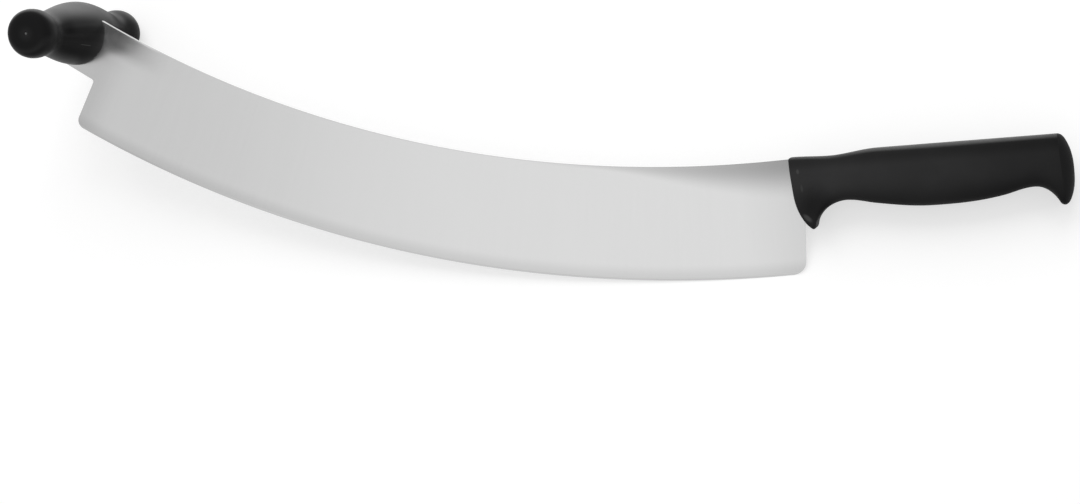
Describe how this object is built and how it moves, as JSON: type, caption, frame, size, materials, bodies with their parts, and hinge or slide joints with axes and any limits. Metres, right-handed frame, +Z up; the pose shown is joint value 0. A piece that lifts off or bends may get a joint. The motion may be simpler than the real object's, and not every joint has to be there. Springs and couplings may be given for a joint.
{
  "type": "double-handled cheese knife",
  "caption": "Curved steel cheese blade with a moulded plastic grip at its heel and a turned cross handle at its front, laid on its back face.",
  "frame": {"origin": "bottom centre of the bounding box, on the table that the knife lies on", "axes": "+Z up; +X along the knife from the cross handle to the main handle; the cutting edge is towards -Y and the spine towards +Y, with the blade rolled as it rests on one end of the cross handle, its cutting edge and the main handle"},
  "size_m": [0.566, 0.1274, 0.1144],
  "materials": {
    "blade_steel": "fine satin grind with a narrow honed edge bevel",
    "main_handle_plastic": "fine matt moulded",
    "cross_handle_plastic": "satin moulded"
  },
  "bodies": {
    "root": {"blade": "blade_steel", "main_handle": "main_handle_plastic", "cross_handle": "cross_handle_plastic"}
  },
  "joints": []
}
